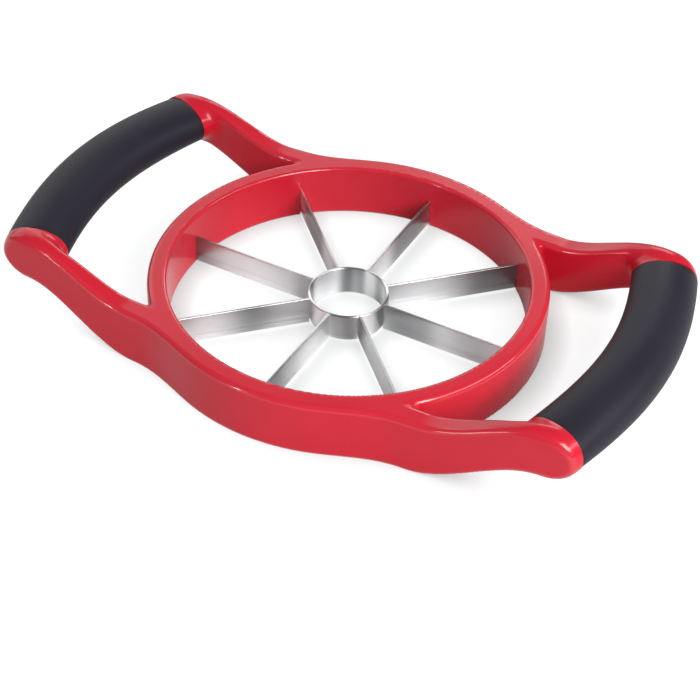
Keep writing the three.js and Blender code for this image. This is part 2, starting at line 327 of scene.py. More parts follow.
soft_grip, tree, shader, place = new_material("black_rubber", IOR=1.4, Specular_IOR_Level=0.26)
skin = use_group(tree, MOULDED_SKIN, Vector=place, **RUBBER)
dust = use_group(tree, DUST, Vector=place, Spacing=5 * MM, Speck_Size=0.14 * MM)
black = blend_colour(tree, skin["Patches"], BLACK, BLACK_WORN)
black = blend_colour(tree, calc(tree, "MULTIPLY", dust["Specks"], BLACK_DUST_SHARE), black, BLACK_DUST)
feed(tree, shader.inputs["Base Color"], black)
feed(tree, shader.inputs["Roughness"], between(tree, skin["Patches"], *BLACK_ROUGHNESS))
relief(tree, shader, skin["Height"], RUBBER_DEPTH)

# %% Brushed steel
# The two ends of the steel's colour. Between them lies a painted reflection, light and dark stretches
# placed along the blades and round the tube.
STEEL_PAINTED_LIGHT = (0.97, 0.98, 0.99, 1)
STEEL_PAINTED_DARK = (0.24, 0.245, 0.25, 1)
BLADE_PAINTED_REFLECTION = {"Sheen_Size": 28 * MM, "Sheen_Start": 3850.7}
TUBE_PAINTED_REFLECTION = {"Sheen_Size": 8 * MM, "Sheen_Start": 197.25}
PAINTED_REFLECTION_SHARE = 0.85
SCRATCH_SHARE = 0.3
STEEL_DIMMED = 0.075
STEEL_ROUGHNESS = (0.26, 0.40)
SCRATCH_DEPTH = 0.002 * MM
CORE_OUTER = 11.3 * MM


def build_steel(name, make_strip, painted_reflection):
    """Steel whose scratches run along the first axis of the first vector that make_strip gives."""
    steel, tree, shader, place = new_material(
        name, Metallic=1.0, Anisotropic=0.8, Anisotropic_Rotation=0.25)
    strip, slow = make_strip(tree, place)
    brushed = use_group(tree, BRUSHED_STRIP, Vector=strip, Sheen_Vector=slow, **painted_reflection)
    # The base colour is mostly painted reflection, with a little of the scratches' own tone.
    painted_reflection_and_scratches = calc(tree, "MULTIPLY", brushed["Painted Reflection"], PAINTED_REFLECTION_SHARE)
    painted_reflection_and_scratches = calc(tree, "MULTIPLY_ADD", brushed["Scratches"], SCRATCH_SHARE, painted_reflection_and_scratches)
    painted_reflection_and_scratches = calc(tree, "SUBTRACT", painted_reflection_and_scratches, STEEL_DIMMED)
    feed(tree, shader.inputs["Base Color"], blend_colour(tree, painted_reflection_and_scratches, STEEL_PAINTED_DARK, STEEL_PAINTED_LIGHT))
    feed(tree, shader.inputs["Roughness"], between(tree, brushed["Scratches"], *STEEL_ROUGHNESS))
    relief(tree, shader, brushed["Scratches"], SCRATCH_DEPTH)
    return steel


def along_blade(tree, place):
    """The strip map, for the scratches and for the painted reflection."""
    strip = add(tree, "ShaderNodeUVMap", {"uv_map": "strip"}).outputs[0]
    along = add(tree, "ShaderNodeSeparateXYZ", Vector=strip).outputs["X"]
    return strip, add(tree, "ShaderNodeCombineXYZ", X=along).outputs[0]


def round_tube(tree, place):
    """Unrolls a tube about Z into arc length and height for scratches. Painted reflection goes round it."""
    apart = add(tree, "ShaderNodeSeparateXYZ", Vector=place).outputs
    arc = calc(tree, "MULTIPLY", calc(tree, "ARCTAN2", apart["Y"], apart["X"]), CORE_OUTER)
    unrolled = add(tree, "ShaderNodeCombineXYZ", X=arc, Y=apart["Z"]).outputs[0]
    return unrolled, add(tree, "ShaderNodeCombineXYZ", X=apart["X"], Y=apart["Y"]).outputs[0]


blade_steel = build_steel("blade_steel", along_blade, BLADE_PAINTED_REFLECTION)
tube_steel = build_steel("tube_steel", round_tube, TUBE_PAINTED_REFLECTION)
print("materials:", [material.name for material in bpy.data.materials])

# %% [markdown]
# ## Floor, backdrop and light
#
# The photograph has a white ground with only soft shadows. More light would also bleach the red, so part of
# the white comes from the floor's own material. Seen by the camera it is mostly a white of its own, and
# ordinary lit paper for the rest, which takes the lamps' shadows. To the red it is plain paper, with a
# little of that white in reflections. The small shade where the tool stands comes from how open the floor
# is overhead. It is measured to one side of upright, so the shade falls to the right and behind, as it does
# in the picture.
#
# The lamps were found from the picture. Each small patch of red tells how much light falls on it and what
# it mirrors. The tops are dark and pure, so nothing shines from straight above or from behind at their
# mirror angle. The walls on the right are the brightest, and the lines of light along the rounded edges
# each need a lamp at one angle. A large key on the right front, a strip beside it, a narrow strip far to
# the left and two dim fills at the back explain nearly all of it. The key stands near the camera, so the
# tool hides most of its own shadow.

# %% Floor and backdrop
FLOOR_SIZE = 4.0
PAPER = (0.70, 0.70, 0.70, 1)
PAPER_SEEN = (0.265, 0.28, 0.28, 1)
OWN_WHITE = (0.99, 1, 1, 1)
OWN_WHITE_SEEN = 0.88
OWN_WHITE_MIRRORED = 0.22
CONTACT_REACH = 8 * MM
CONTACT_LEAN = {"X": -0.5, "Y": -0.4, "Z": 0.77}
CONTACT_SHARE = 0.7

floor_mesh = bpy.data.meshes.new("floor")
half = FLOOR_SIZE / 2
floor_corners = [(-half, -half, 0), (half, -half, 0), (half, half, 0), (-half, half, 0)]
floor_mesh.from_pydata(floor_corners, [], [(0, 1, 2, 3)])
floor = bpy.data.objects.new("floor", floor_mesh)
bpy.context.scene.collection.objects.link(floor)

paper = bpy.data.materials.new("paper")
paper.use_nodes = True
tree = paper.node_tree
tree.nodes.clear()
path = add(tree, "ShaderNodeLightPath").outputs
lean = add(tree, "ShaderNodeCombineXYZ", **CONTACT_LEAN).outputs[0]
open_share = add(tree, "ShaderNodeAmbientOcclusion", Distance=CONTACT_REACH, Normal=lean).outputs["AO"]
soft_shadow = calc(tree, "MULTIPLY_ADD", open_share, CONTACT_SHARE, 1 - CONTACT_SHARE)
seen = calc(tree, "MULTIPLY", path["Is Camera Ray"], calc(tree, "MULTIPLY", soft_shadow, OWN_WHITE_SEEN))
mirrored = calc(tree, "MULTIPLY", path["Is Glossy Ray"], OWN_WHITE_MIRRORED)
own = add(tree, "ShaderNodeEmission", Color=OWN_WHITE, Strength=calc(tree, "ADD", seen, mirrored))
lit = add(tree, "ShaderNodeBsdfDiffuse", Color=blend_colour(tree, path["Is Camera Ray"], PAPER, PAPER_SEEN))
both = add(tree, "ShaderNodeAddShader")
feed(tree, both.inputs[0], own.outputs[0])
feed(tree, both.inputs[1], lit.outputs[0])
end = add(tree, "ShaderNodeOutputMaterial")
feed(tree, end.inputs["Surface"], both.outputs[0])
floor_mesh.materials.append(paper)
floor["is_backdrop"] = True

# %% World
ROOM_LIGHT = 0.225

world = bpy.data.worlds.new("studio")
bpy.context.scene.world = world
world.use_nodes = True
tree = world.node_tree
sky = tree.nodes["Background"]
path = add(tree, "ShaderNodeLightPath").outputs
room = calc(tree, "MAXIMUM", path["Is Camera Ray"], ROOM_LIGHT)
feed(tree, sky.inputs["Color"], (1, 1, 1, 1))
feed(tree, sky.inputs["Strength"], room)

# %% Lamps
LAMP_DISTANCE = 0.9
LAMP_POWER = 4


def softbox(name, turn, height, wide, tall, brightness):
    """A lamp that looks at the ring's centre. Its angles are in degrees, and its turn is from +X.

    Brightness is that of its face. Its power is that times its area and LAMP_POWER."""
    turn, height = math.radians(turn), math.radians(height)
    level = math.cos(height)
    towards = Vector((math.cos(turn) * level, math.sin(turn) * level, math.sin(height)))
    sides = [2 * LAMP_DISTANCE * math.tan(math.radians(angle / 2)) for angle in (wide, tall)]
    lamp = bpy.data.lights.new(name, "AREA")
    lamp.shape = "RECTANGLE"
    lamp.size, lamp.size_y = sides
    lamp.energy = LAMP_POWER * sides[0] * sides[1] * brightness
    box = bpy.data.objects.new(name, lamp)
    bpy.context.scene.collection.objects.link(box)
    box.location = towards * LAMP_DISTANCE
    box.rotation_mode = "QUATERNION"
    box.rotation_quaternion = towards.to_track_quat("Z", "Y")


softbox("key", turn=-30, height=38, wide=26, tall=30, brightness=8.2)
softbox("strip beside the key", turn=8, height=33, wide=50, tall=5, brightness=10)
softbox("far left strip", turn=-116, height=11, wide=3, tall=22, brightness=13)
softbox("fill at the back left", turn=150, height=26, wide=62, tall=40, brightness=1.0)
softbox("fill at the back", turn=102, height=27, wide=18, tall=18, brightness=2.6)
print("lamps:", [light.name for light in bpy.data.lights])

# %% [markdown]
# ## The red moulding as a distance field
#
# The ring, the rails and the raised ends flow into each other with fillets of different sizes. Joining
# meshes and bevelling the seams would fight with the dense edges, and a subdivision cage would pull the
# ring out of round. Here the shape is written as a distance field: a function that tells, for any point,
# how far it is from the skin, below zero inside. In such a field a rounded corner is one short formula, and
# so is a soft joint.
#
# Two formulas do most of the work. round_corner keeps what is inside both of two faces and rounds the edge
# between them. soft_join takes two bodies together and fills the corner between them.

# %% Field formulas
def round_corner(a, b, radius):
    outside = np.hypot(np.maximum(a + radius, 0), np.maximum(b + radius, 0))
    return np.minimum(np.maximum(a, b), -radius) + outside


def soft_join(a, b, width):
    reach = np.maximum(width - np.abs(a - b), 0) / np.maximum(width, 1e-9)
    return np.minimum(a, b) - reach * reach * width / 4


def rise(low, high, value):
    t = np.clip((value - low) / (high - low), 0, 1)
    return t * t * (3 - 2 * t)


def rise_slope(low, high, value):
    t = np.clip((value - low) / (high - low), 0, 1)
    return 6 * t * (1 - t) / (high - low)


# %% The ring
RING_INNER = 50 * MM
RING_OUTER = 55.4 * MM
RING_HEIGHT = 15.8 * MM
RING_TOP_INNER_ROUND = 0.8 * MM
RING_TOP_OUTER_ROUND = 1.4 * MM
RING_BOTTOM_ROUND = 0.8 * MM


def ring_field(x, y, z):
    middle = (RING_INNER + RING_OUTER) / 2
    radius = np.hypot(x, y)
    wall = np.abs(radius - middle) - (RING_OUTER - RING_INNER) / 2
    slab = np.abs(z - RING_HEIGHT / 2) - RING_HEIGHT / 2
    top = np.where(radius < middle, RING_TOP_INNER_ROUND, RING_TOP_OUTER_ROUND)
    return round_corner(wall, slab, np.where(z > RING_HEIGHT / 2, top, RING_BOTTOM_ROUND))


# %% The rails' outline from the side
TOP_RISE = (44 * MM, 76 * MM)
BOTTOM_RISE = (42 * MM, 76 * MM)
LOBE_TOP = 26.0 * MM
LOBE_BOTTOM = 12.1 * MM
LOBE_CENTRE_X = 77.5 * MM
LOBE_REACH = 8.3 * MM


def side_field(x, z):
    """The rail seen from the side: level at the ring, rising to a round end."""
    top = RING_HEIGHT + (LOBE_TOP - RING_HEIGHT) * rise(*TOP_RISE, x)
    bottom = LOBE_BOTTOM * rise(*BOTTOM_RISE, x)
    above = (z - top) / np.hypot(1, (LOBE_TOP - RING_HEIGHT) * rise_slope(*TOP_RISE, x))
    below = (bottom - z) / np.hypot(1, LOBE_BOTTOM * rise_slope(*BOTTOM_RISE, x))
    half = (LOBE_TOP - LOBE_BOTTOM) / 2
    u = (x - LOBE_CENTRE_X) / LOBE_REACH
    v = (z - LOBE_BOTTOM - half) / half
    size = np.hypot(u, v)
    end = (size - 1) * size / np.maximum(np.hypot(u / LOBE_REACH, v / half), 1)
    return np.where(x > LOBE_CENTRE_X, end, np.maximum(above, below))


# %% The rails' outline from above
RAIL_OUTER_Y = 48.6 * MM
RAIL_OUTER_TAPER = 0.065
RAIL_INNER_Y = 39.9 * MM
RAIL_INNER_TAPER = 0.013
RAIL_BULGE_RADIUS = 55.9 * MM
RAIL_BLEND = 5 * MM
RAIL_DRAFT = 0.5 * MM


def rail_outer(x, y, z):
    """The outer face: straight, swelled by the ring's front, and leaning out towards its foot."""
    straight = (y + RAIL_OUTER_TAPER * x - RAIL_OUTER_Y) / math.hypot(1, RAIL_OUTER_TAPER)
    bulge = np.hypot(x, y) - RAIL_BULGE_RADIUS
    return soft_join(straight, bulge, RAIL_BLEND) - RAIL_DRAFT * np.clip(1 - z / RING_HEIGHT, 0, 1)


def rail_inner(x, y):
    return (RAIL_INNER_Y - RAIL_INNER_TAPER * x - y) / math.hypot(1, RAIL_INNER_TAPER)


# %% The rails, with edges that grow rounder towards the ends
EDGE_GROWS = (54 * MM, 80 * MM)
RAIL_TOP_ROUND = (1.3 * MM, 3.0 * MM)
RAIL_CROWN = 4 * MM
RAIL_BOTTOM_ROUND = (0.6 * MM, 1.8 * MM)
ROUND_BLEND = 4 * MM


def rail_field(x, y, z):
    inside_ring = (RING_INNER + RING_OUTER) / 2 - np.hypot(x, y)
    faces = -soft_join(-rail_outer(x, y, z), -rail_inner(x, y), RAIL_CROWN)
    wall = np.maximum(faces, inside_ring)
    grown = rise(*EDGE_GROWS, x)
    top = RAIL_TOP_ROUND[0] + (RAIL_TOP_ROUND[1] - RAIL_TOP_ROUND[0]) * grown
    bottom = RAIL_BOTTOM_ROUND[0] + (RAIL_BOTTOM_ROUND[1] - RAIL_BOTTOM_ROUND[0]) * grown
    middle = RING_HEIGHT / 2 + (LOBE_TOP + LOBE_BOTTOM - RING_HEIGHT) / 2 * rise(*BOTTOM_RISE, x)
    upper = rise(middle - ROUND_BLEND, middle + ROUND_BLEND, z)
    return round_corner(side_field(x, z), wall, bottom + (top - bottom) * upper)


# %% The web that fills the notch between ring and rail
NOTCH_ROUND = 2.4 * MM
WEB_REACH = 2.5 * MM
WEB_INSET = 1.5 * MM


def web_field(x, y, z):
    ring_side = np.hypot(x, y) - RING_OUTER
    plan = np.maximum(soft_join(ring_side, rail_inner(x, y), NOTCH_ROUND), np.abs(ring_side) - WEB_REACH)
    plan = np.maximum(plan, rail_outer(x, y, z) + WEB_INSET)
    slab = np.abs(z - RING_HEIGHT / 2) - RING_HEIGHT / 2
    return round_corner(plan, slab, np.where(z > RING_HEIGHT / 2, RING_TOP_OUTER_ROUND, RING_BOTTOM_ROUND))


# %% The cross bar's bow
BAR_END_Y = 37.4 * MM
BAR_X = 77.5 * MM
BAR_BOW = 5.85 * MM
BAR_BOW_PEAK = 0.67 * MM
BAR_Z = 19 * MM
BAR_CROWN = 0.8 * MM
BAR_HALF_WIDTH = 9 * MM
BAR_HALF_HEIGHT = 6.35 * MM
BAR_SWELL = 1.05 * MM
NEAREST_ROUNDS = 3


def bar_middle(v):
    """Middle of the bar and its turn about Z, for v from -1 to 1 between the grip's ends."""
    w = 1 - v * v
    x = BAR_X + BAR_BOW * w + BAR_BOW_PEAK * w * w
    turn = np.arctan(2 * v * (BAR_BOW + 2 * BAR_BOW_PEAK * w) / BAR_END_Y)
    return x, BAR_END_Y * v, BAR_Z + BAR_CROWN * w, turn


def bar_field(x, y, z):
    """The oval bar, measured in the cut plane that passes through each point."""
    v = y / BAR_END_Y
    for _ in range(NEAREST_ROUNDS):
        mx, my, mz, turn = bar_middle(v)
        ahead = (y - my) * np.cos(turn) - (x - mx) * np.sin(turn)
        v = v + ahead * np.cos(turn) / BAR_END_Y
    mx, my, mz, turn = bar_middle(v)
    across = (x - mx) * np.cos(turn) + (y - my) * np.sin(turn)
    height = BAR_HALF_HEIGHT + BAR_SWELL * np.maximum(1 - v * v, 0)
    size = np.hypot(across / BAR_HALF_WIDTH, (z - mz) / height)
    steep = np.hypot(across / BAR_HALF_WIDTH ** 2, (z - mz) / height ** 2)
    return (size - 1) * size / np.maximum(steep, 1)


# %% The whole moulding, alike in every quarter
BAR_FACE_ROUND = 2 * MM
BAR_FACE_INSET = 2.9 * MM
NECK_ROUND = 2.8 * MM
STUB_Y = 34 * MM


def moulding_field(x, y, z):
    x, y = np.abs(x), np.abs(y)
    stub = round_corner(bar_field(x, y, z), rail_outer(x, y, z) + BAR_FACE_INSET, BAR_FACE_ROUND)
    stub = np.maximum(stub, STUB_Y - y)
    side = soft_join(rail_field(x, y, z), stub, NECK_ROUND)
    return np.minimum(np.minimum(ring_field(x, y, z), web_field(x, y, z)), side)


# %% [markdown]
# ## From field to mesh
#
# The field is sampled on a grid. Every cell whose corners are partly inside gets one point, in the middle
# of where its edges cross the skin, and every crossed edge gets a four-sided face between its four cells.
# Then the points are slid down the field's slope until they lie on the skin, and evened out along it. The
# slope is also the exact direction of the surface, so it later serves for smooth shading.
#
# Only one quarter is made. The grid is set half a cell over the two planes of likeness, so that the
# outermost points fall exactly on them and the mirrored halves meet.

# %% Net over the skin
CELL = 0.64 * MM
NET_LOW_Z = -1.25 * CELL
NET_HIGH = (89 * MM, 57.5 * MM, 27.5 * MM)
EVEN_ROUNDS = 3


def net_over(field, low_z, high):
    """Points and faces of the net, and for X and Y whether a point belongs on its plane of likeness."""
    axes = [(np.arange(int(high[k] / CELL) + 2) - 0.5) * CELL for k in (0, 1)]
    axes.append(np.arange(low_z, high[2] + CELL, CELL))
    nodes = np.stack(np.meshgrid(*axes, indexing="ij"), -1)
    values = field(nodes[..., 0], nodes[..., 1], nodes[..., 2])
    cells = np.array(values.shape) - 1
    total, hits = np.zeros((*cells, 3)), np.zeros(cells)
    quads_at = []
    for axis in range(3):
        u, v = (axis + 1) % 3, (axis + 2) % 3
        lower = np.take(values, range(cells[axis]), axis)
        upper = np.take(values, range(1, cells[axis] + 1), axis)
        crossed = (lower < 0) != (upper < 0)
        point = np.take(nodes, range(cells[axis]), axis).copy()
        point[..., axis] += CELL * np.where(crossed, lower / np.where(crossed, lower - upper, 1), 0)
        for i in (0, 1):
            for j in (0, 1):
                part = [slice(None)] * 3
                part[u], part[v] = slice(i, i + cells[u]), slice(j, j + cells[v])
                total += (point * crossed[..., None])[tuple(part)]
                hits += crossed[tuple(part)]
        at = np.argwhere(crossed)
        at = at[(at[:, u] > 0) & (at[:, v] > 0) & (at[:, u] < cells[u]) & (at[:, v] < cells[v])]
        quads_at.append((axis, at, (lower < 0)[tuple(at.T)]))
    number = np.full(cells, -1)
    filled = np.argwhere(hits > 0)
    number[tuple(filled.T)] = np.arange(len(filled))
    points = total[tuple(filled.T)] / hits[tuple(filled.T)][:, None]
    quads = []
    for axis, at, outwards in quads_at:
        step = np.eye(3, dtype=int)
        u, v = step[(axis + 1) % 3], step[(axis + 2) % 3]
        corners = np.stack([number[tuple((at - shift).T)] for shift in (u + v, v, 0 * u, u)], 1)
        quads.append(np.where(outwards[:, None], corners, corners[:, ::-1]))
    return points, np.concatenate(quads), filled[:, :2] == 0


# %% Settle the points on the skin
def slope(field, points, step=0.01 * MM):
    """Gradient of the field at each point, which is the outward direction of the surface."""
    parts = []
    for axis in np.eye(3) * step:
        ahead, behind = points + axis, points - axis
        parts.append((field(*ahead.T) - field(*behind.T)) / (2 * step))
    return np.stack(parts, 1)


def settle(field, points, rounds=2):
    for _ in range(rounds):
        gradient = slope(field, points)
        points = points - field(*points.T)[:, None] * gradient / (gradient ** 2).sum(1)[:, None]
    return points


def even_out(field, points, quads, on_plane):
    """Moves each point halfway to the middle of its neighbours, but only along the surface."""
    a, b = quads.ravel(), np.roll(quads, -1, 1).ravel()
    count = np.bincount(a, minlength=len(points)) + np.bincount(b, minlength=len(points))
    near = np.zeros_like(points)
    for here, there in ((a, b), (b, a)):
        for k in range(3):
            near[:, k] += np.bincount(here, points[there, k], len(points))
    move = (near / count[:, None] - points) / 2
    normal = slope(field, points)
    normal /= np.linalg.norm(normal, axis=1)[:, None]
    points = points + move - (move * normal).sum(1)[:, None] * normal
    points[:, :2][on_plane] = 0
    return points


points, quads, on_plane = net_over(moulding_field, NET_LOW_Z, NET_HIGH)
points[:, :2][on_plane] = 0
for _ in range(EVEN_ROUNDS):
    points = even_out(moulding_field, settle(moulding_field, points), quads, on_plane)
points = settle(moulding_field, points)
print("quarter:", len(points), "points,", len(quads), "faces")

# %% Mesh helpers
def mesh_object(name, points, faces):
    mesh = bpy.data.meshes.new(name)
    mesh.from_pydata(np.asarray(points).tolist(), [], [list(face) for face in faces])
    made = bpy.data.objects.new(name, mesh)
    bpy.context.scene.collection.objects.link(made)
    return made


def apply_modifiers(made):
    """Replaces the object's mesh by what its modifiers make of it."""
    bpy.context.view_layer.update()
    finished = bpy.data.meshes.new_from_object(made.evaluated_get(bpy.context.evaluated_depsgraph_get()))
    made.modifiers.clear()
    made.data = finished
    return made


# %% Mirror the quarter
moulding = mesh_object("moulding", points, quads)
mirror = moulding.modifiers.new("both ways", "MIRROR")
mirror.use_axis = (True, True, False)
mirror.merge_threshold = 0.01 * MM
apply_modifiers(moulding)
print("moulding:", len(moulding.data.polygons), "faces")

# %% [markdown]
# ## Pieces woven from loops
#
# The tubes, hoops and strips are all rows of points, where each row is a closed loop and every loop has the
# same number of points. One helper weaves such rows into faces. Another softens a drawn outline: it rounds
# each corner by a small radius, because no real edge is perfectly sharp and only a rounded one catches a
# line of light.

# %% Weave and soften
LONGEST_ARM = 0.45


def weave(name, rows, ring):
    """Faces between rows of points. A ring joins its last row to the first. Others get flat ends."""
    rows = np.asarray(rows)
    count, around = rows.shape[:2]
    i, j = np.meshgrid(np.arange(count if ring else count - 1), np.arange(around), indexing="ij")
    here, ahead, side = i * around, (i + 1) % count * around, (j + 1) % around
    faces = np.stack([here + j, here + side, ahead + side, ahead + j], -1).reshape(-1, 4).tolist()
    if not ring:
        faces += [list(range(around))[::-1], list(range((count - 1) * around, count * around))]
    made = mesh_object(name, rows.reshape(-1, 3), faces)
    shape = bmesh.new()
    shape.from_mesh(made.data)
    if shape.calc_volume(signed=True) < 0:
        made.data.flip_normals()
    shape.free()
    return made


def soften(corners, radius, arc_steps=3, longest=1.0):
    """A closed outline with rounded corners, and with sides divided where they are longer than longest."""
    corners = np.array(corners, float)
    radii = np.broadcast_to(radius, len(corners))
    loop = []
    for k, corner in enumerate(corners):
        arms = []
        for other in (corners[k - 1], corners[(k + 1) % len(corners)]):
            length = np.linalg.norm(other - corner)
            arms.append((other - corner) / length * min(radii[k], LONGEST_ARM * length))
        for s in np.linspace(0, 1, arc_steps + 1):
            loop.append(corner + (1 - s) ** 2 * arms[0] + s ** 2 * arms[1])
    divided = []
    for a, b in zip(loop, loop[1:] + loop[:1]):
        pieces = max(1, math.ceil(np.linalg.norm(b - a) / longest))
        divided += [a + (b - a) * k / pieces for k in range(pieces)]
    return np.array(divided)


def lathe(name, outline, steps=144):
    """A closed outline of radius and height, turned about Z."""
    turn = np.arange(steps) * 2 * math.pi / steps
    return weave(name, [[(r * math.cos(t), r * math.sin(t), z) for t in turn] for r, z in outline], True)


# %% [markdown]
# ## Bending a straight tube along the bow
#
# The grip, the spine inside it and the room cut for it are all the same thing: an oval tube that follows
# one bowed line and swells in the middle. Such a rule suits Geometry Nodes. The tube is first made
# straight, along Y, where it is easy to give it walls and rounded edges. The node tree then moves every
# point: it finds how far along the point is, puts it in the cut plane there, and turns that plane with the
# bow. The sizes are inputs of the modifier, so the same tree bends all three.

# %% Geometry Nodes: bend along the bow
GEOMETRY_OUT = [("Geometry", "NodeSocketGeometry")]


def build_bend():
    sizes = [("Half Length", BAR_END_Y), ("Middle X", BAR_X), ("Bow", BAR_BOW),
             ("Bow Peak", BAR_BOW_PEAK), ("Middle Z", BAR_Z), ("Crown", BAR_CROWN),
             ("Half Height", BAR_HALF_HEIGHT), ("Swell", BAR_SWELL)]
    sockets = [("Geometry", "NodeSocketGeometry", None), ("Material", "NodeSocketMaterial", None)]
    sockets += [(name, "NodeSocketFloat", size) for name, size in sizes]
    tree, given, result = new_group("Bend Along Bow", "GeometryNodeTree", sockets, GEOMETRY_OUT)
    place = tree.nodes.new("GeometryNodeInputPosition").outputs[0]
    straight = add(tree, "ShaderNodeSeparateXYZ", Vector=place).outputs
    v = calc(tree, "DIVIDE", straight["Y"], given["Half Length"])
    w = calc(tree, "SUBTRACT", 1.0, calc(tree, "MULTIPLY", v, v))
    bowed = calc(tree, "MULTIPLY_ADD", given["Bow Peak"], w, given["Bow"])
    steeper = calc(tree, "MULTIPLY_ADD", given["Bow Peak"], calc(tree, "MULTIPLY", w, 2.0), given["Bow"])
    middle_x = calc(tree, "MULTIPLY_ADD", bowed, w, given["Middle X"])
    middle_z = calc(tree, "MULTIPLY_ADD", given["Crown"], w, given["Middle Z"])
    run = calc(tree, "DIVIDE", calc(tree, "MULTIPLY", v, 2.0), given["Half Length"])
    turn = calc(tree, "ARCTANGENT", calc(tree, "MULTIPLY", run, steeper))
    swell = calc(tree, "MULTIPLY", given["Swell"], calc(tree, "MAXIMUM", w, 0.0))
    taller = calc(tree, "ADD", calc(tree, "DIVIDE", swell, given["Half Height"]), 1.0)
    x = calc(tree, "MULTIPLY_ADD", straight["X"], calc(tree, "COSINE", turn), middle_x)
    y = calc(tree, "MULTIPLY_ADD", straight["X"], calc(tree, "SINE", turn), straight["Y"])
    z = calc(tree, "MULTIPLY_ADD", straight["Z"], taller, middle_z)
    bent = add(tree, "ShaderNodeCombineXYZ", X=x, Y=y, Z=z).outputs[0]
    moved = add(tree, "GeometryNodeSetPosition", Geometry=given["Geometry"], Position=bent)
    return dress(tree, moved.outputs[0], given, result)


def dress(tree, geometry, given, result):
    """The end of every tree here: real mesh in the given material."""
    real = add(tree, "GeometryNodeRealizeInstances", Geometry=geometry)
    dressed = add(tree, "GeometryNodeSetMaterial", Geometry=real.outputs[0], Material=given["Material"])
    feed(tree, result["Geometry"], dressed.outputs[0])
    return tree


def run_nodes(made, tree, **inputs):
    """Runs the node tree as a modifier, its inputs set by their sockets' identifiers, and applies it."""
    modifier = made.modifiers.new(tree.name, "NODES")
    modifier.node_group = tree
    for name, value in inputs.items():
        modifier[tree.interface.items_tree[name.replace("_", " ")].identifier] = value
    return apply_modifiers(made)


BEND = build_bend()
print("bend inputs:", [item.name for item in BEND.interface.items_tree if item.in_out == "INPUT"])

# %% Straight oval rows
PLUG_ROWS = 41
OVAL_STEPS = 96
OVAL_TURN = np.arange(OVAL_STEPS) * 2 * math.pi / OVAL_STEPS


def oval_row(inset, along):
    wide, tall = BAR_HALF_WIDTH - inset, BAR_HALF_HEIGHT - inset
    return np.stack([wide * np.cos(OVAL_TURN), np.full(OVAL_STEPS, along), tall * np.sin(OVAL_TURN)], 1)


def oval_plug(name, inset, reach):
    """A solid oval bar, bent along the bow, for cutting and joining."""
    rows = [oval_row(inset, along) for along in np.linspace(-reach, reach, PLUG_ROWS)]
    return run_nodes(weave(name, rows, False), BEND)


def both_sides(made):
    """The piece on the right, and its twin on the left, turned half round Z."""
    twin = made.copy()
    twin.data = made.data.copy()
    twin.data.transform(Matrix.Rotation(math.pi, 4, "Z"))
    bpy.context.scene.collection.objects.link(twin)
    return [made, twin]


# %% The grips
SPINE_INSET = 2.4 * MM
SEAM = 0.05 * MM
SEAM_ROUND = 0.25 * MM
GRIP_LENGTH_STEP = 1.2 * MM

grip_end = BAR_END_Y - SEAM
grip_wall = SPINE_INSET - SEAM
grip_corners = [(0, -grip_end), (0, grip_end), (grip_wall, grip_end), (grip_wall, -grip_end)]
section = soften(grip_corners, SEAM_ROUND, longest=GRIP_LENGTH_STEP)
sleeve = weave("soft_grip", [oval_row(inset, along) for inset, along in section], True)
run_nodes(sleeve, BEND, Material=soft_grip)
grips = dict(zip(("grip_right", "grip_left"), both_sides(sleeve)))
for name, grip in grips.items():
    grip.name = "soft_" + name
    grip.data.shade_smooth()
    print(grip.name, len(grip.data.polygons), "faces")

# %% [markdown]
# ## The blade wheel
#
# One blade is a strip with a tab at each end, ground to an edge along the bottom. It is woven once, along
# +X, from loops that are wide at the strip and low at the tabs. Eight of them stand round the core at equal
# angles, so Geometry Nodes repeats the one strip: a point for each blade, the strip as an instance on it,
# turned by its number. After that each blade gets its own stretch of one long map, along and up the blade.
# So the brushing runs along every blade, and the painted reflection differs from blade to blade.

# %% Geometry Nodes: repeat round the core
def build_repeat():
    sockets = [("Geometry", "NodeSocketGeometry", None), ("Material", "NodeSocketMaterial", None),
               ("Count", "NodeSocketInt", 8)]
    tree, given, result = new_group("Repeat Round Core", "GeometryNodeTree", sockets, GEOMETRY_OUT)
    points = add(tree, "GeometryNodePoints", Count=given["Count"])
    number = tree.nodes.new("GeometryNodeInputIndex").outputs[0]
    turn = calc(tree, "MULTIPLY", number, calc(tree, "DIVIDE", 2 * math.pi, given["Count"]))
    turned = add(tree, "ShaderNodeCombineXYZ", Z=turn).outputs[0]
    placed = add(tree, "GeometryNodeInstanceOnPoints", Points=points.outputs[0], Rotation=turned)
    feed(tree, placed.inputs["Instance"], given["Geometry"])
    return dress(tree, placed.outputs[0], given, result)


REPEAT = build_repeat()

# %% One blade, then eight
BLADE_COUNT = 8
BLADE_THICKNESS = 0.8 * MM
BLADE_TOP = 9.1 * MM
BLADE_BOTTOM = 0.6 * MM
BEVEL_HEIGHT = 1.8 * MM
CUTTING_EDGE = 0.12 * MM
BLADE_TOP_ROUND = 0.34 * MM
BLADE_FOOT_ROUND = 0.1 * MM
STRIP_FROM = 11.25 * MM
STRIP_TO = 51.2 * MM
TAB_FROM = 10.6 * MM
TAB_TO = 52.9 * MM
TAB_HEIGHTS = (3 * MM, 7.4 * MM)
TAB_BEVEL = 0.3 * MM
TAB_FOOT = BLADE_THICKNESS * 0.8
STRIP_ROWS = 9
MAP_PITCH = 90 * MM
STEEL_CREASE = math.radians(50)


def blade_loop(x, bottom, shoulder, top, edge):
    half = BLADE_THICKNESS / 2
    foot = edge / 2
    corners = [(half, top), (-half, top), (-half, shoulder),
               (-foot, bottom), (foot, bottom), (half, shoulder)]
    return [(x, y, z) for y, z in soften(corners, [BLADE_TOP_ROUND] * 2 + [BLADE_FOOT_ROUND] * 4)]


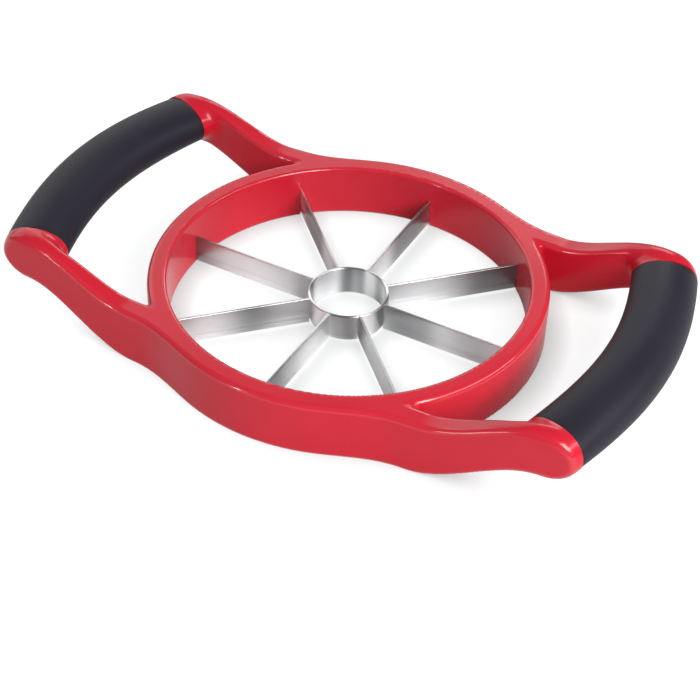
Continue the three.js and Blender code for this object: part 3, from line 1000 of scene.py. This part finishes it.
def strip_loop(x):
    return blade_loop(x, BLADE_BOTTOM, BLADE_BOTTOM + BEVEL_HEIGHT, BLADE_TOP, CUTTING_EDGE)


def tab_loop(x):
    low, high = TAB_HEIGHTS
    return blade_loop(x, low, low + TAB_BEVEL, high, TAB_FOOT)


strip_rows = [strip_loop(x) for x in np.linspace(STRIP_FROM, STRIP_TO, STRIP_ROWS)]
blade_rows = [tab_loop(TAB_FROM), tab_loop(STRIP_FROM), *strip_rows, tab_loop(STRIP_TO), tab_loop(TAB_TO)]
blades = weave("blade_wheel", blade_rows, False)
blades.data.shade_smooth()
blades.data.set_sharp_from_angle(angle=STEEL_CREASE)
run_nodes(blades, REPEAT, Material=blade_steel, Count=BLADE_COUNT)
strip_map = blades.data.uv_layers.new(name="strip")
corners_per_blade = len(blades.data.loops) // BLADE_COUNT
for index, (corner, spot) in enumerate(zip(blades.data.loops, strip_map.data)):
    at = blades.data.vertices[corner.vertex_index].co
    spot.uv = (index // corners_per_blade * MAP_PITCH + math.hypot(at.x, at.y), at.z)
print("blade wheel:", len(blades.data.polygons), "faces")
print("maps:", [layer.name for layer in blades.data.uv_layers])

# %% The core tube and the ring that closes the groove
CORE_WALL = 0.8 * MM
GROOVE_INNER = 51.1 * MM
GROOVE_OUTER = 53.5 * MM
GROOVE_TOP = 10.8 * MM
RETAINER_GAP = 0.2 * MM
RETAINER_HEIGHTS = (0.1 * MM, 1.3 * MM)
RETAINER_ROUND = 0.25 * MM

core_inner = CORE_OUTER - CORE_WALL
core_outline = [(core_inner, BLADE_BOTTOM), (core_inner + CUTTING_EDGE, BLADE_BOTTOM),
                (CORE_OUTER, BLADE_BOTTOM + BEVEL_HEIGHT), (CORE_OUTER, BLADE_TOP), (core_inner, BLADE_TOP)]
core_tube = lathe("core_tube", soften(core_outline, [BLADE_FOOT_ROUND] * 3 + [BLADE_TOP_ROUND] * 2))
core_tube.data.materials.append(tube_steel)

low, high = RETAINER_HEIGHTS
inner, outer = GROOVE_INNER + RETAINER_GAP, GROOVE_OUTER - RETAINER_GAP
closing_outline = [(inner, low), (outer, low), (outer, high), (inner, high)]
closing_ring = lathe("closing_ring", soften(closing_outline, RETAINER_ROUND))
closing_ring.data.materials.append(red_plastic)
for made in (core_tube, closing_ring):
    made.data.shade_smooth()
    made.data.set_sharp_from_angle(angle=STEEL_CREASE)
print("core tube:", len(core_tube.data.polygons), "faces")

# %% [markdown]
# ## Cutting the moulding
#
# The field gives soft shapes, but the seam against the grip, the blade slots and the groove underneath have
# crisp edges. Those are cut with booleans: first the room for each grip, then the spine joined back in its
# middle, then the groove and the slots. A boolean leaves points in the middle of straight edges. They would
# fold into slivers when the faces are split into triangles, so they are dissolved. After that, shading: a
# corner on the soft skin takes its direction from the field, and a corner on a cut keeps its own.
#
# Last, each point is told how tightly the skin bends there, in one over metres. That is how much the field
# just round the point rises above its value at the point. The red's clear coat lies where this is large.

# %% Cut and join
SLOT_WIDTH = 0.9 * MM
PAST = 1 * MM
SPINE_REACH = BAR_END_Y * 1.03
IDLE_BEND = math.radians(12)


def boolean(made, tool, operation):
    cut = made.modifiers.new(tool.name, "BOOLEAN")
    cut.object = tool
    cut.operation = operation
    cut.solver = "MANIFOLD"


def dissolve_idle(mesh):
    """Removes the points that only divide one nearly straight edge."""
    shape = bmesh.new()
    shape.from_mesh(mesh)
    middle = [point for point in shape.verts if len(point.link_edges) == 2]
    idle = [point for point in middle if point.calc_edge_angle(0) < IDLE_BEND]
    bmesh.ops.dissolve_verts(shape, verts=idle)
    shape.to_mesh(mesh)
    shape.free()


groove = [(GROOVE_INNER, -PAST), (GROOVE_OUTER, -PAST),
          (GROOVE_OUTER, GROOVE_TOP), (GROOVE_INNER, GROOVE_TOP)]
slot_from, slot_to = RING_INNER - PAST, GROOVE_INNER + PAST
slot_corners = [(-1, -PAST), (1, -PAST), (1, BLADE_TOP), (-1, BLADE_TOP)]
slot_rows = [[(x, SLOT_WIDTH / 2 * side, z) for side, z in slot_corners] for x in (slot_from, slot_to)]
slots = run_nodes(weave("slots", slot_rows, False), REPEAT, Count=BLADE_COUNT)
cuts = [*both_sides(oval_plug("room", -PAST, BAR_END_Y)), lathe("groove", groove), slots]
spines = both_sides(oval_plug("spine", SPINE_INSET, SPINE_REACH))
for tool in cuts[:2]:
    boolean(moulding, tool, "DIFFERENCE")
for tool in spines:
    boolean(moulding, tool, "UNION")
for tool in cuts[2:]:
    boolean(moulding, tool, "DIFFERENCE")
apply_modifiers(moulding)
dissolve_idle(moulding.data)
for tool in (*cuts, *spines):
    bpy.data.objects.remove(tool)
print("cut moulding:", len(moulding.data.polygons), "faces")

# %% Shade from the field, and mark the rounded edges
MOULDING_CREASE = math.radians(30)
SKIN_DEPTH = 0.1 * MM
SKIN_ALIKE = 0.7
EDGE_STEP = 0.35 * MM
EDGE_BENDS = (380, 700)


def read(items, name, width):
    values = np.empty(len(items) * width)
    items.foreach_get(name, values)
    return values.reshape(-1, width)


def unit(vectors):
    return vectors / np.maximum(np.linalg.norm(vectors, axis=1), 1e-12)[:, None]


mesh = moulding.data
mesh.shade_smooth()
mesh.set_sharp_from_angle(angle=MOULDING_CREASE)
places = read(mesh.vertices, "co", 3)
middles = read(mesh.polygons, "center", 3)
facing = (read(mesh.polygons, "normal", 3) * unit(slope(moulding_field, middles))).sum(1)
on_skin = (np.abs(moulding_field(*middles.T)) < SKIN_DEPTH) & (facing > SKIN_ALIKE)
corner_on_skin = np.repeat(on_skin, read(mesh.polygons, "loop_total", 1).astype(int).ravel())
vertex_of = read(mesh.loops, "vertex_index", 1).astype(int).ravel()
normals = read(mesh.corner_normals, "vector", 3)
exact = unit(slope(moulding_field, places))
normals[corner_on_skin] = exact[vertex_of[corner_on_skin]]
mesh.normals_split_custom_set(normals.tolist())

steps = np.vstack([np.eye(3), -np.eye(3)]) * EDGE_STEP
around = sum(moulding_field(*(places + step).T) for step in steps)
bend = (around - len(steps) * moulding_field(*places.T)) / EDGE_STEP ** 2
rounded = np.clip((bend - EDGE_BENDS[0]) / (EDGE_BENDS[1] - EDGE_BENDS[0]), 0, 1)
mesh.attributes.new("edge", "FLOAT", "POINT").data.foreach_set("value", rounded)
mesh.materials.clear()
mesh.materials.append(red_plastic)
print("share of faces on the skin:", round(float(on_skin.mean()), 3))
print("share of points on rounded edges:", round(float((rounded > 0.5).mean()), 3))

# %% [markdown]
# ## Hand the pieces over
#
# Each piece is listed with the engineering nodes that it stands for and the name of its finish. It moves
# with the root body, and those nodes are hidden.
# The steel hoop that the blades lock into is out of sight in the groove, so its engineering node stays, in
# the same steel.

# %% Ride, replace, finish
for made, slot, nodes in (
    (moulding, "red_plastic", ["frame"]),
    (closing_ring, "red_plastic", ["retaining_ring"]),
    (core_tube, "steel", ["core_ring"]),
    (blades, "steel", [f"blade_{i + 1}" for i in range(BLADE_COUNT)]),
    (grips["grip_right"], "soft_grip", ["grip_right"]),
    (grips["grip_left"], "soft_grip", ["grip_left"]),
):
    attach(made, "root")
    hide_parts(*nodes)
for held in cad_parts["blade_hoop"].material_slots:
    held.material = tube_steel

low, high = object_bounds()
print("visual size in mm:", [round((b - a) / MM, 2) for a, b in zip(low, high)])
